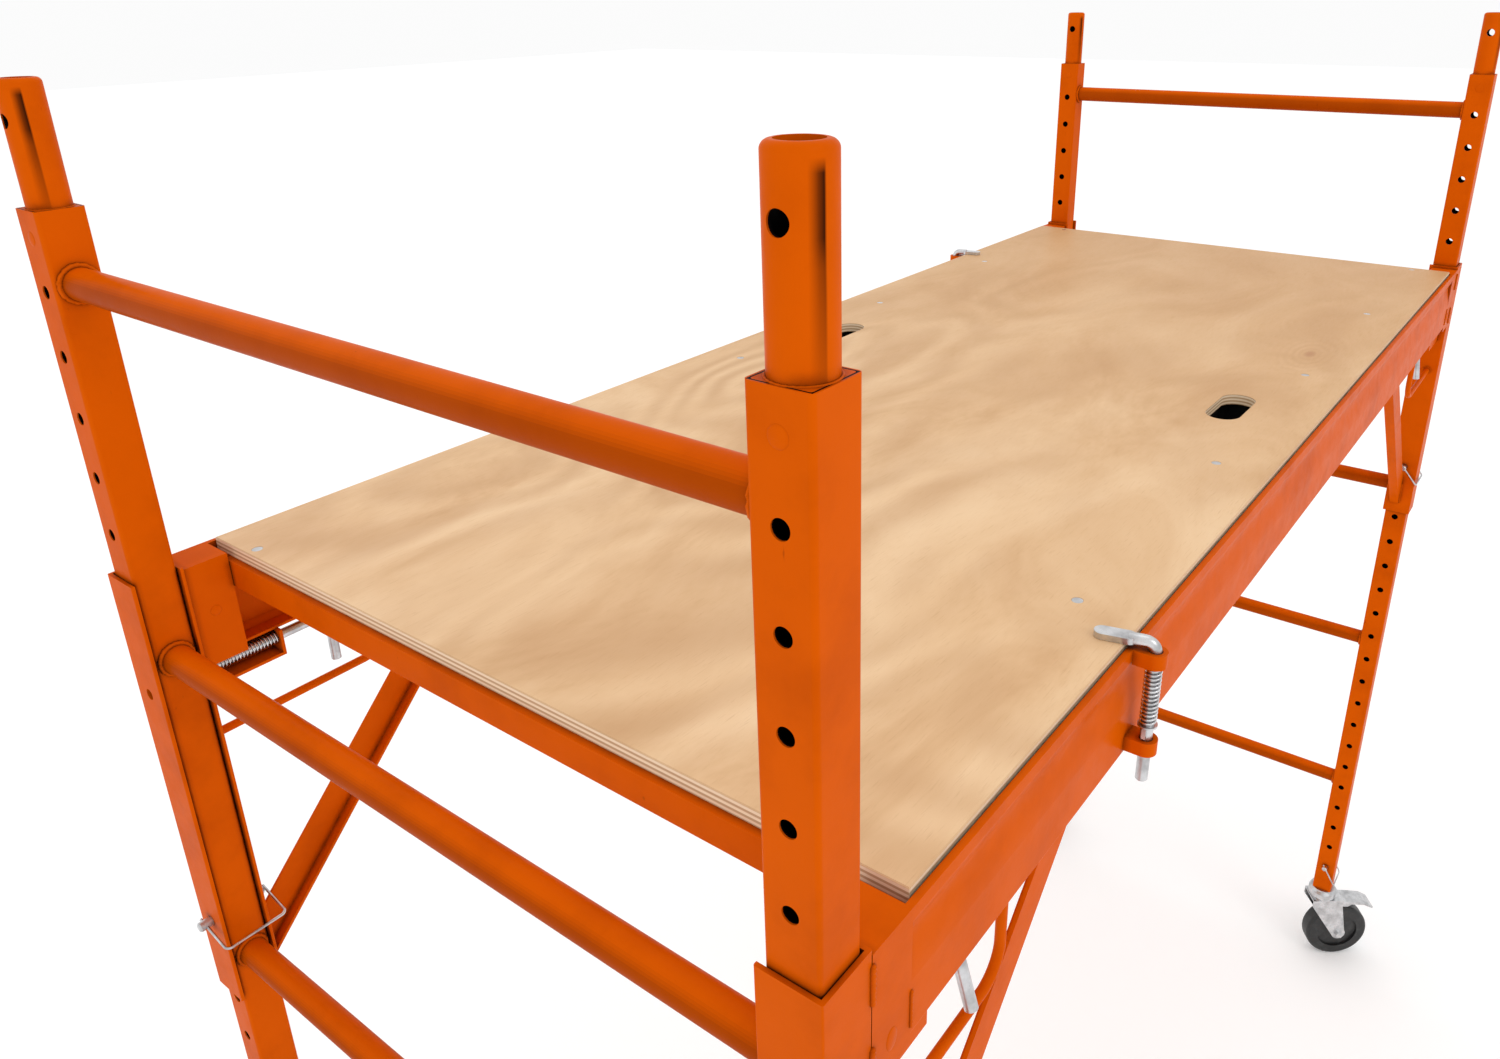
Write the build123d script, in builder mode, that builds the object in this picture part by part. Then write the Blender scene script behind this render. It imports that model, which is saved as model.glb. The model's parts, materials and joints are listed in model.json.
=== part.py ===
"""Baker scaffold: two end frames, two pinned side brackets, a plywood deck and four casters.

Frame: millimetres, X along the length (near end is -X), Y across (right side is -Y), Z up.
The origin is on the floor, under the middle of the scaffold.
"""
import os
from math import cos, radians, sin, tan

from build123d import *

os.makedirs("parts", exist_ok=True)

# ---------------------------------------------------------------- driving dimensions
hole_pitch = 50.8          # 2 in adjustment step
hole_count = 31
post_size = 35.0
post_wall = 2.0
post_end_margin = 61.6     # end of the post to its first hole
post_bottom = 177.5        # underside of the post above the floor
post_x = 904.7             # post centres
post_y = 349.2
pin_dia = 9.5
pin_hole_dia = 10.5

stub_dia = 30.6            # stacking stub
stub_wall = 2.6
stub_height = 92.0
stub_insert = 40.0
stub_insert_dia = 30.0
stub_cap = 2.5             # square plate that closes the post round the stub
stub_hole_dia = 11.0
stub_hole_height = 62.8

rung_dia = 25.4
rung_wall = 2.0
rung_count = 5
rung_pitch = 329.0
rung_drop = 56.0           # post top to the centre of the top rung

deck_drop = 305.7          # post top to the plywood's face
deck_length = 1687.2
deck_width = 727.6
ply_length = 1680.0
ply_shift = 2.5            # the plywood is set back from the near end of its frame
ply_thick = 12.0
rail_drop = 4.0            # rail lip below the plywood's face
rail_height = 98.0
rail_sheet = 2.5
lip_width = 5.0

sleeve_gap = 0.9
sleeve_wall = 3.0
sleeve_length = 455.0
sleeve_lap = 4.0           # flange beyond the post's inner face
lock_hole = 7              # post hole that takes the locking pin, from the top
snap_hole = 12             # post hole that takes the snap pin
caster_hole = 30           # post hole that holds the caster stem
brace_drop = 336.0         # rail's underside to the foot of the brace
brace_reach = 334.0
brace_width = 34.0
brace_flange = 14.0
brace_sheet = 3.0
guard_dia = 8.0
guard_reach = 700.0        # middle of the scaffold to the guard's upright
guard_drop = 80.0          # rail's underside to the guard

latch_x = 530.0
latch_offset = 13.7        # rail face to the latch rod's axis
latch_heading = 14.0       # arm's swing towards the end of the deck
latch_travel = 18.0
lock_travel = 26.0

wheel_dia = 127.0
wheel_width = 32.0
caster_trail = 40.0
caster_heading = -53.0
fork_gap = 40.0
fork_sheet = 3.0
crown_top = 153.0
axle_dia = 9.5
wire_dia = 2.6

# ---------------------------------------------------------------- derived places
post_length = 2 * post_end_margin + (hole_count - 1) * hole_pitch
post_top = post_bottom + post_length
deck_top = post_top - deck_drop
rail_top = deck_top - rail_drop
rail_bottom = rail_top - rail_height
ply_bottom = deck_top - ply_thick
sleeve_half = post_size / 2 + sleeve_gap + sleeve_wall
side_face = post_y + sleeve_half           # outer face of sleeves, end boxes and rails
box_outer = post_x - sleeve_half           # sleeve face where the end box starts
box_inner = box_outer - 39.0
box_depth = 38.0
deck_end = deck_length / 2

corners = {
    "near_right": (-1, -1),
    "near_left": (-1, 1),
    "far_right": (1, -1),
    "far_left": (1, 1),
}
sides = {"right": -1, "left": 1}


def hole_height(index):
    """Height of a post hole, counted down from the top."""
    return post_top - post_end_margin - index * hole_pitch


def save(part, name):
    """Label a finished piece and write its STEP file."""
    part.label = name
    export_step(part, f"parts/{name}.step")


def end_plane(x, y, z):
    """A sketch plane facing along X: its own x is Y and its own y is Z."""
    return Plane(origin=(x, y, z), x_dir=(0, 1, 0), z_dir=(1, 0, 0))


def side_plane(y):
    """A sketch plane facing along -Y: its own x is X and its own y is Z."""
    return Plane(origin=(0, y, 0), x_dir=(1, 0, 0), z_dir=(0, -1, 0))


# ---------------------------------------------------------------- end frames
hole_spots = [(0, hole_height(index)) for index in range(hole_count)]

for corner, (end, side) in corners.items():
    with BuildPart() as post:
        with BuildSketch(Plane.XY.offset(post_bottom)):
            with Locations((end * post_x, side * post_y)):
                RectangleRounded(post_size, post_size, 3.0)
                RectangleRounded(post_size - 2 * post_wall, post_size - 2 * post_wall, 1.0, mode=Mode.SUBTRACT)
        extrude(amount=post_length)
        with BuildSketch(end_plane(end * post_x, side * post_y, 0)):
            with Locations(*hole_spots):
                Circle(pin_hole_dia / 2)
        extrude(amount=post_size, both=True, mode=Mode.SUBTRACT)
    save(post.part, f"post_{corner}")

with BuildPart() as stacking_stubs:
    stub_spots = [(end * post_x, side * post_y) for end, side in corners.values()]
    with BuildSketch(Plane.XY.offset(post_top)):
        with Locations(*stub_spots):
            Circle(stub_dia / 2)
    extrude(amount=stub_height)
    top_rims = stacking_stubs.edges().filter_by(GeomType.CIRCLE).group_by(Axis.Z)[-1]
    fillet(top_rims, 4.0)
    with BuildSketch(Plane.XY.offset(post_top - stub_insert)):
        with Locations(*stub_spots):
            Circle(stub_insert_dia / 2)
    extrude(amount=stub_insert)
    with BuildSketch(Plane.XY.offset(post_top - stub_cap)):
        with Locations(*stub_spots):
            RectangleRounded(post_size - 2 * post_wall - 0.2, post_size - 2 * post_wall - 0.2, 1.5)
    extrude(amount=stub_cap)
    with BuildSketch(Plane.XY.offset(post_top - stub_insert)):
        with Locations(*stub_spots):
            Circle(stub_dia / 2 - stub_wall)
    extrude(amount=stub_insert + stub_height - 2.5, mode=Mode.SUBTRACT)
    with BuildSketch(Plane.XY.offset(post_top + stub_height - 3.0)):
        with Locations(*stub_spots):
            Circle(stub_dia / 2 - 5.0)
    extrude(amount=4.0, mode=Mode.SUBTRACT)
    with BuildSketch(end_plane(0, 0, post_top + stub_hole_height)):
        with Locations((-post_y, 0), (post_y, 0)):
            Circle(stub_hole_dia / 2)
    extrude(amount=post_x + post_size, both=True, mode=Mode.SUBTRACT)
save(stacking_stubs.part, "stacking_stubs")

rung_heights = [post_top - rung_drop - index * rung_pitch for index in range(rung_count)]
rung_half = post_y - post_size / 2

for name, end in (("near_rungs", -1), ("far_rungs", 1)):
    with BuildPart() as rungs:
        with BuildSketch(side_plane(rung_half)):
            with Locations(*[(end * post_x, height) for height in rung_heights]):
                Circle(rung_dia / 2)
                Circle(rung_dia / 2 - rung_wall, mode=Mode.SUBTRACT)
        extrude(amount=2 * rung_half)
    save(rungs.part, name)

# ---------------------------------------------------------------- side brackets
groove_depth = 2.3
groove_top = rail_top - 16.0
groove_foot = rail_top - 52.0
edge_radius = 8.0
flange_width = 24.0

for name, side in (("right_rail", -1), ("left_rail", 1)):
    with BuildPart() as rail:
        with BuildSketch(end_plane(-box_inner, 0, 0)):
            with BuildLine():
                out = side * side_face
                inner = side * (side_face - rail_sheet)
                lip = side * (side_face - lip_width)
                groove = side * groove_depth
                flange = side * (side_face - flange_width)
                turn = side * edge_radius
                foot = rail_bottom + edge_radius
                Line((lip, rail_top), (out, rail_top))
                Line((out, rail_top), (out, rail_top - 9.0))
                Spline(
                    (out, rail_top - 9.0), (out - groove, groove_top), (out, groove_foot),
                    tangents=[(0, -1), (0, -1)],
                )
                Line((out, groove_foot), (out, foot))
                Line((out, foot), (out - turn * 0.3, rail_bottom + 2.3))
                Line((out - turn * 0.3, rail_bottom + 2.3), (out - turn, rail_bottom))
                Line((out - turn, rail_bottom), (flange, rail_bottom))
                Line((flange, rail_bottom), (flange, rail_bottom + rail_sheet))
                Line((flange, rail_bottom + rail_sheet), (out - turn, rail_bottom + rail_sheet))
                Line((out - turn, rail_bottom + rail_sheet), (inner, foot))
                Line((inner, foot), (inner, groove_foot))
                Spline(
                    (inner, groove_foot), (inner - groove, groove_top), (lip, rail_top - 9.0),
                    tangents=[(0, 1), (0, 1)],
                )
                Line((lip, rail_top - 9.0), (lip, rail_top))
            make_face()
        extrude(amount=2 * box_inner)
    save(rail.part, name)

with BuildPart() as bracket_sleeves:
    for end, side in corners.values():
        web = side * side_face
        tip = side * (post_y - post_size / 2 - sleeve_lap)
        width = abs(web - tip)
        centre_y = (web + tip) / 2
        with BuildSketch(Plane.XY.offset(deck_top - sleeve_length)):
            with Locations((end * post_x, centre_y)):
                RectangleRounded(2 * sleeve_half, width, 1.2)
            slot_shift = side * sleeve_wall
            with Locations((end * post_x, centre_y - slot_shift)):
                Rectangle(2 * (sleeve_half - sleeve_wall), width, mode=Mode.SUBTRACT)
        extrude(amount=sleeve_length)
        with BuildSketch(end_plane(end * post_x, side * post_y, 0)):
            with Locations((0, hole_height(lock_hole)), (0, hole_height(snap_hole))):
                Circle(pin_hole_dia / 2)
        extrude(amount=2 * sleeve_half, both=True, mode=Mode.SUBTRACT)
save(bracket_sleeves.part, "bracket_sleeves")

with BuildPart() as bracket_end_boxes:
    for end, side in corners.values():
        centre = (end * (box_inner + box_outer) / 2, side * (side_face - box_depth / 2))
        length = box_outer - box_inner
        with BuildSketch(Plane.XY.offset(rail_bottom)):
            with Locations(centre):
                Rectangle(length, box_depth)
        extrude(amount=rail_height)
        with BuildSketch(Plane.XY.offset(rail_bottom)):
            with Locations(centre):
                Rectangle(length - 2 * rail_sheet, box_depth - 2 * rail_sheet)
        extrude(amount=rail_height - rail_sheet, mode=Mode.SUBTRACT)
save(bracket_end_boxes.part, "bracket_end_boxes")

# A brace is an angle bar: a flat in the bracket's plane and a flange turned inward below it.
brace_slope = brace_drop / brace_reach
brace_rise = brace_width * (1 + brace_slope**2) ** 0.5
flange_rise = brace_sheet * (1 + brace_slope**2) ** 0.5
brace_foot = rail_bottom - brace_drop

with BuildPart() as bracket_diagonals:
    for end, side in corners.values():
        outer_y = side * (post_y + 1.5)
        for rise, depth in ((brace_rise, brace_sheet), (flange_rise, brace_flange)):
            foot_low = (end * box_outer, brace_foot)
            foot_high = (end * box_outer, brace_foot + rise)
            head_high = (end * (box_outer - (brace_drop - rise) / brace_slope), rail_bottom)
            head_low = (end * (box_outer - brace_drop / brace_slope), rail_bottom)
            with BuildSketch(side_plane(outer_y)):
                with BuildLine():
                    Polyline(foot_low, foot_high, head_high, head_low, close=True)
                make_face()
            extrude(amount=side * depth)
save(bracket_diagonals.part, "bracket_diagonals")

with BuildPart() as guard_rods:
    guard_y = post_y + 1.5 + guard_dia / 2
    guard_height = rail_bottom - guard_drop
    for end, side in corners.values():
        with BuildLine() as route:
            FilletPolyline(
                (end * box_outer, side * guard_y, guard_height),
                (end * guard_reach, side * guard_y, guard_height),
                (end * guard_reach, side * guard_y, rail_bottom),
                radius=26.0,
            )
        with BuildSketch(end_plane(end * box_outer, side * guard_y, guard_height)):
            Circle(guard_dia / 2)
        sweep(path=route.wires()[0])
save(guard_rods.part, "guard_rods")

# Troughs that carry the locking pins, under the rails beside the sleeves.
trough_inner = 808.0
trough_depth = 26.0
trough_sheet = 3.0
lock_height = hole_height(lock_hole)
trough_out = side_face - 10.0
trough_in = post_y - 9.5
trough_foot = rail_bottom - trough_depth

with BuildPart() as pin_brackets:
    for end, side in corners.values():
        low, high = sorted((side * trough_in, side * trough_out))
        mid_x = end * (box_outer + trough_inner) / 2
        with BuildSketch(Plane.XY.offset(trough_foot)):
            with Locations((mid_x, (low + high) / 2)):
                Rectangle(box_outer - trough_inner, high - low)
        extrude(amount=trough_depth)
        with BuildSketch(Plane.XY.offset(trough_foot + trough_sheet)):
            with Locations((mid_x + end * trough_sheet, (low + high) / 2 - side * trough_sheet)):
                Rectangle(box_outer - trough_inner, high - low)
        extrude(amount=trough_depth, mode=Mode.SUBTRACT)
        with BuildSketch(end_plane(end * trough_inner, side * post_y, lock_height)):
            Circle(pin_hole_dia / 2)
        extrude(amount=2 * trough_sheet, both=True, mode=Mode.SUBTRACT)
save(pin_brackets.part, "pin_brackets")

# Ears that carry the deck latches, on the outer faces of the rails.
ear_width = 18.0
ear_height = 12.0
latch_axis = side_face + latch_offset
upper_ear_top = rail_top
lower_ear_foot = rail_bottom + 10.0
latches = {"right": (-latch_x, -latch_axis, -1), "left": (latch_x, latch_axis, 1)}

with BuildPart() as latch_brackets:
    for x, y, side in latches.values():
        for foot in (upper_ear_top - ear_height, lower_ear_foot):
            with BuildSketch(Plane.XY.offset(foot)):
                with Locations((x, y - side * latch_offset / 2)):
                    Rectangle(ear_width, latch_offset)
                with Locations((x, y)):
                    Circle(ear_width / 2)
                    Circle(pin_hole_dia / 2, mode=Mode.SUBTRACT)
            extrude(amount=ear_height)
save(latch_brackets.part, "latch_brackets")

# ---------------------------------------------------------------- deck
ledge_width = 22.0
ledge_sheet = 3.0
ledge_face = side_face - lip_width

with BuildPart() as deck_ledges:
    for side in sides.values():
        with BuildSketch(end_plane(-box_inner, 0, 0)):
            with Locations((side * (ledge_face - ledge_width / 2), ply_bottom - ledge_sheet / 2)):
                Rectangle(ledge_width, ledge_sheet)
            with Locations((side * (ledge_face - ledge_sheet / 2), ply_bottom - ledge_width / 2)):
                Rectangle(ledge_sheet, ledge_width)
        extrude(amount=2 * box_inner)
save(deck_ledges.part, "deck_ledges")

plate_sheet = 3.0
tube_size = 25.0
tube_wall = 1.5
side_tube_width = 20.0
side_tube_outer = ledge_face - ledge_width - 2.0
cross_end = deck_end - plate_sheet - tube_size / 2
cross_spots = [side * step for step in (167.0, 501.0, cross_end) for side in (-1, 1)]
screw_y = 310.0
screw_head_dia = 9.0
hand_hole = (92.0, 38.0)
hand_hole_y = 271.0
hand_hole_x = 4.0

with BuildPart() as plywood_deck:
    with BuildSketch(Plane.XY.offset(ply_bottom)):
        with Locations((ply_shift, 0)):
            Rectangle(ply_length, deck_width)
    extrude(amount=ply_thick)
    chamfer(plywood_deck.faces().sort_by(Axis.Z)[-1].edges(), 0.8)
    with BuildSketch(Plane.XY.offset(ply_bottom)):
        with Locations((hand_hole_x, hand_hole_y), (hand_hole_x, -hand_hole_y)):
            SlotOverall(hand_hole[0], hand_hole[1])
    extrude(amount=ply_thick, mode=Mode.SUBTRACT)
    with Locations(*[(x, side * screw_y, deck_top) for x in cross_spots for side in (-1, 1)]):
        CounterSinkHole(radius=2.6, counter_sink_radius=screw_head_dia / 2 + 0.4, depth=ply_thick)
save(plywood_deck.part, "plywood_deck")

cup_size = (112.0, 56.0)
cup_depth = 34.0
cup_sheet = 2.5

with BuildPart() as hand_hole_cups:
    with BuildSketch(Plane.XY.offset(ply_bottom - cup_depth)):
        with Locations((hand_hole_x, hand_hole_y), (hand_hole_x, -hand_hole_y)):
            RectangleRounded(cup_size[0], cup_size[1], 12.0)
    extrude(amount=cup_depth)
    with BuildSketch(Plane.XY.offset(ply_bottom - cup_depth + cup_sheet)):
        with Locations((hand_hole_x, hand_hole_y), (hand_hole_x, -hand_hole_y)):
            RectangleRounded(cup_size[0] - 2 * cup_sheet, cup_size[1] - 2 * cup_sheet, 9.5)
    extrude(amount=cup_depth, mode=Mode.SUBTRACT)
save(hand_hole_cups.part, "hand_hole_cups")

with BuildPart() as deck_screws:
    for x in cross_spots:
        for side in (-1, 1):
            with BuildSketch(Plane(origin=(x, side * screw_y, 0), x_dir=(1, 0, 0), z_dir=(0, -1, 0))):
                with BuildLine():
                    Polyline(
                        (0, deck_top - 0.3), (screw_head_dia / 2, deck_top - 0.3),
                        (2.4, deck_top - 2.5), (2.4, ply_bottom - tube_wall - 6.0),
                        (0, ply_bottom - tube_wall - 9.0), close=True,
                    )
                make_face()
            revolve(axis=Axis((x, side * screw_y, 0), (0, 0, 1)))
save(deck_screws.part, "deck_screws")

with BuildPart() as deck_side_members:
    for side in sides.values():
        with BuildSketch(end_plane(plate_sheet - deck_end, 0, 0)):
            with Locations((side * (side_tube_outer - side_tube_width / 2), ply_bottom - tube_size / 2)):
                Rectangle(side_tube_width, tube_size)
                Rectangle(side_tube_width - 2 * tube_wall, tube_size - 2 * tube_wall, mode=Mode.SUBTRACT)
        extrude(amount=2 * (deck_end - plate_sheet))
save(deck_side_members.part, "deck_side_members")

cross_half = side_tube_outer - side_tube_width

with BuildPart() as deck_cross_members:
    with BuildSketch(side_plane(cross_half)):
        with Locations(*[(x, ply_bottom - tube_size / 2) for x in cross_spots]):
            Rectangle(tube_size, tube_size)
            Rectangle(tube_size - 2 * tube_wall, tube_size - 2 * tube_wall, mode=Mode.SUBTRACT)
    extrude(amount=2 * cross_half)
    with BuildSketch(Plane.XY.offset(ply_bottom - 2 * tube_wall)):
        with Locations(*[(x, side * screw_y) for x in cross_spots for side in (-1, 1)]):
            Circle(2.5)
    extrude(amount=2 * tube_wall, mode=Mode.SUBTRACT)
save(deck_cross_members.part, "deck_cross_members")

with BuildPart() as deck_end_plates:
    plate_top = ply_bottom
    plate_foot = ply_bottom - tube_size
    for end in (-1, 1):
        with BuildSketch(end_plane(end * (deck_end - plate_sheet), 0, (plate_top + plate_foot) / 2)):
            Rectangle(2 * side_tube_outer, plate_top - plate_foot)
        extrude(amount=end * plate_sheet)
save(deck_end_plates.part, "deck_end_plates")

# ---------------------------------------------------------------- snap pins and their wire bails
head_stand = 12.0          # pin end beyond the tube that it crosses
tip_stand = 8.0
bail_hole_dia = wire_dia + 0.16


def snap_pin(x, y, z, half, tilt):
    """One plain pin along X with a cross hole for its bail near the -X end."""
    with BuildPart() as pin:
        with BuildSketch(end_plane(x - half - head_stand, y, z)):
            Circle(pin_dia / 2)
        extrude(amount=2 * half + head_stand + tip_stand)
        chamfer(pin.edges().filter_by(GeomType.CIRCLE), 1.2)
        across = Plane(
            origin=(x - half - head_stand / 2, y, z), x_dir=(1, 0, 0),
            z_dir=(0, -cos(radians(tilt)), -sin(radians(tilt))),
        )
        with BuildSketch(across):
            Circle(bail_hole_dia / 2)
        extrude(amount=pin_dia, both=True, mode=Mode.SUBTRACT)
    return pin.part


def wire_bail(x, y, z, half, tilt, reach):
    """A square bail that turns in the pin's cross hole and closes past the pin's tip."""
    lean = (0, -cos(radians(tilt)), -sin(radians(tilt)))
    head_x = x - half - head_stand / 2
    tip_x = x + half + tip_stand + wire_dia / 2 + 0.6
    far = (lean[1] * reach, lean[2] * reach)
    back = (lean[1] * -7.5, lean[2] * -7.5)
    hook = (lean[1] * -3.0, lean[2] * -3.0)
    with BuildPart() as bail:
        with BuildLine() as route:
            FilletPolyline(
                (head_x, y + back[0], z + back[1]),
                (head_x, y + far[0], z + far[1]),
                (tip_x, y + far[0], z + far[1]),
                (tip_x, y + hook[0], z + hook[1]),
                radius=5.0,
            )
        with BuildSketch(Plane(origin=(head_x, y + back[0], z + back[1]), x_dir=(1, 0, 0), z_dir=lean)):
            Circle(wire_dia / 2)
        sweep(path=route.wires()[0])
    return bail.part


snap_tilts = {"near_right": 50.0, "near_left": 15.0, "far_right": 50.0, "far_left": 15.0}
caster_tilt = 58.0
snap_reach = 38.0
caster_reach = 42.0

snap_solids = []
caster_solids = []
for corner, (end, side) in corners.items():
    x, y = end * post_x, side * post_y
    tilt = snap_tilts[corner]
    snap_solids.append(snap_pin(x, y, hole_height(snap_hole), sleeve_half, tilt))
    caster_solids.append(snap_pin(x, y, hole_height(caster_hole), post_size / 2, caster_tilt))
    bail = wire_bail(x, y, hole_height(snap_hole), sleeve_half, tilt, snap_reach)
    save(bail, f"snap_pin_bail_{corner}")
    bail = wire_bail(x, y, hole_height(caster_hole), post_size / 2, caster_tilt, caster_reach)
    save(bail, f"caster_pin_bail_{corner}")

with BuildPart() as snap_pins:
    add(snap_solids)
save(snap_pins.part, "snap_pins")

with BuildPart() as caster_pins:
    add(caster_solids)
save(caster_pins.part, "caster_pins")

# ---------------------------------------------------------------- spring-loaded locking pins
lock_tip = post_x + 5.3
lock_elbow = 757.0
lock_handle = 51.0         # axis to the handle's end
collar_at = 868.0
collar_dia = 13.0
spring_wire = 1.6
spring_outer_dia = 13.0
spring_turns = 17

handle_tilts = {"near_right": 17.0, "near_left": 0.0, "far_right": 8.0, "far_left": -6.0}

for corner, (end, side) in corners.items():
    tilt = radians(handle_tilts[corner])
    handle_y = side * (post_y + lock_handle * sin(tilt))
    handle_z = lock_height - lock_handle * cos(tilt)
    with BuildPart() as locking_pin:
        with BuildLine() as route:
            FilletPolyline(
                (end * lock_tip, side * post_y, lock_height),
                (end * lock_elbow, side * post_y, lock_height),
                (end * lock_elbow, handle_y, handle_z),
                radius=10.0,
            )
        with BuildSketch(end_plane(end * lock_tip, side * post_y, lock_height)):
            Circle(pin_dia / 2)
        sweep(path=route.wires()[0])
        rims = locking_pin.edges().filter_by(GeomType.CIRCLE).sort_by(Axis.X)
        chamfer([rims[0] if end < 0 else rims[-1]], 1.0)
        with BuildSketch(end_plane(end * collar_at, side * post_y, lock_height)):
            Circle(collar_dia / 2)
        extrude(amount=end * 3.0)
    save(locking_pin.part, f"locking_pin_{corner}")


def coil(radius, wire, length, turns, start, heading):
    """A close-wound compression spring along an axis, with its ends square to it."""
    pitch = (length - wire) / turns
    with BuildPart() as spring:
        with BuildLine() as path:
            Helix(pitch=pitch, height=length - wire, radius=radius, center=start, direction=heading)
        wire_start = path.wires()[0] @ 0
        wire_run = path.wires()[0] % 0
        with BuildSketch(Plane(origin=wire_start, z_dir=wire_run)):
            Circle(wire / 2)
        sweep(path=path.wires()[0], is_frenet=True)
    return spring.part


coil_radius = (spring_outer_dia - spring_wire) / 2
lock_spring_length = collar_at - trough_inner - trough_sheet

for corner, (end, side) in corners.items():
    start_x = end * (trough_inner + trough_sheet + spring_wire / 2)
    start = (start_x, side * post_y, lock_height)
    spring = coil(coil_radius, spring_wire, lock_spring_length, spring_turns, start, (end, 0, 0))
    save(spring, f"locking_pin_spring_{corner}")

# ---------------------------------------------------------------- deck latches
arm_thick = 5.0
arm_width = 13.0
arm_length = 42.0
arm_height = deck_top + 0.3 + arm_thick / 2
spring_top = upper_ear_top - ear_height
washer_top = lower_ear_foot + ear_height + 13.0
washer_thick = 1.6
wing_height = 9.0
rod_foot = lower_ear_foot - 26.0

for name, (x, y, side) in latches.items():
    swing = radians(latch_heading)
    inward = (-sin(swing) * (1 if x > 0 else -1) * -1, -side * cos(swing))
    arm_end = (x + inward[0] * arm_length, y + inward[1] * arm_length)
    bend_end = (x + inward[0] * 20.0, y + inward[1] * 20.0)
    with BuildPart() as latch_rod:
        with BuildLine() as route:
            FilletPolyline((x, y, rod_foot), (x, y, arm_height), (*bend_end, arm_height), radius=8.0)
        with BuildSketch(Plane.XY.offset(rod_foot)):
            with Locations((x, y)):
                Circle(pin_dia / 2)
        sweep(path=route.wires()[0])
        chamfer(latch_rod.edges().filter_by(GeomType.CIRCLE).sort_by(Axis.Z)[0], 1.0)
        with BuildSketch(Plane.XY.offset(arm_height - arm_thick / 2)):
            with BuildLine():
                Line((x + inward[0] * 17.0, y + inward[1] * 17.0), arm_end)
            middle_x = x + inward[0] * (arm_length + 17.0) / 2
            middle_y = y + inward[1] * (arm_length + 17.0) / 2
            turn = -90.0 if side > 0 else 90.0
            heading = turn + (latch_heading if x < 0 else latch_heading)
            with Locations(Location((middle_x, middle_y), heading)):
                SlotOverall(arm_length - 17.0 + arm_width / 2, arm_width)
        extrude(amount=arm_thick)
        with BuildSketch(Plane.XY.offset(washer_top - washer_thick - wing_height)):
            with Locations((x, y)):
                Rectangle(14.0, 3.2)
        extrude(amount=wing_height)
    save(latch_rod.part, f"deck_latch_rod_{name}")

    with BuildPart() as latch_washer:
        with BuildSketch(Plane.XY.offset(washer_top - washer_thick)):
            with Locations((x, y)):
                Circle(7.5)
                Circle(pin_dia / 2 + 0.08, mode=Mode.SUBTRACT)
        extrude(amount=washer_thick)
    save(latch_washer.part, f"deck_latch_washer_{name}")

    start = (x, y, washer_top + spring_wire / 2)
    spring = coil(coil_radius, spring_wire, spring_top - washer_top, 14, start, (0, 0, 1))
    save(spring, f"deck_latch_spring_{name}")

# ---------------------------------------------------------------- casters
stem_dia = 30.0
stem_length = 80.0
flange_dia = 46.0
cup_dia = 54.0
kingpin_dia = 12.0
wheel_radius = wheel_dia / 2
post_spots = [(end * post_x, side * post_y) for end, side in corners.values()]

with BuildPart() as caster_stems:
    with BuildSketch(Plane.XY.offset(post_bottom)):
        with Locations(*post_spots):
            Circle(stem_dia / 2)
    extrude(amount=stem_length)
    with BuildSketch(Plane.XY.offset(post_bottom - 3.0)):
        with Locations(*post_spots):
            Circle(flange_dia / 2)
    extrude(amount=3.0)
    with BuildSketch(end_plane(0, 0, hole_height(caster_hole))):
        with Locations((-post_y, 0), (post_y, 0)):
            Circle(pin_hole_dia / 2)
    extrude(amount=post_x + post_size, both=True, mode=Mode.SUBTRACT)
save(caster_stems.part, "caster_stems")

cup_top = post_bottom - 3.0
cup_foot = crown_top + 6.0
rivet_foot = crown_top - fork_sheet - 4.0

with BuildPart() as caster_cups:
    for x, y in post_spots:
        with BuildSketch(Plane(origin=(x, y, 0), x_dir=(1, 0, 0), z_dir=(0, -1, 0))):
            with BuildLine():
                Polyline(
                    (0, cup_top), (cup_dia / 2 - 5, cup_top), (cup_dia / 2, cup_top - 5),
                    (cup_dia / 2, cup_foot), (kingpin_dia / 2, cup_foot),
                    (kingpin_dia / 2, rivet_foot + 3.5), (10.0, rivet_foot + 3.5),
                    (8.0, rivet_foot), (0, rivet_foot), close=True,
                )
            make_face()
        revolve(axis=Axis((x, y, 0), (0, 0, 1)))
save(caster_cups.part, "caster_cups")

pedal_pivot = (27.0, crown_top - 11.0)
pedal_pin_dia = 6.0
pedal_half = fork_gap / 2 - 2.0

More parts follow.
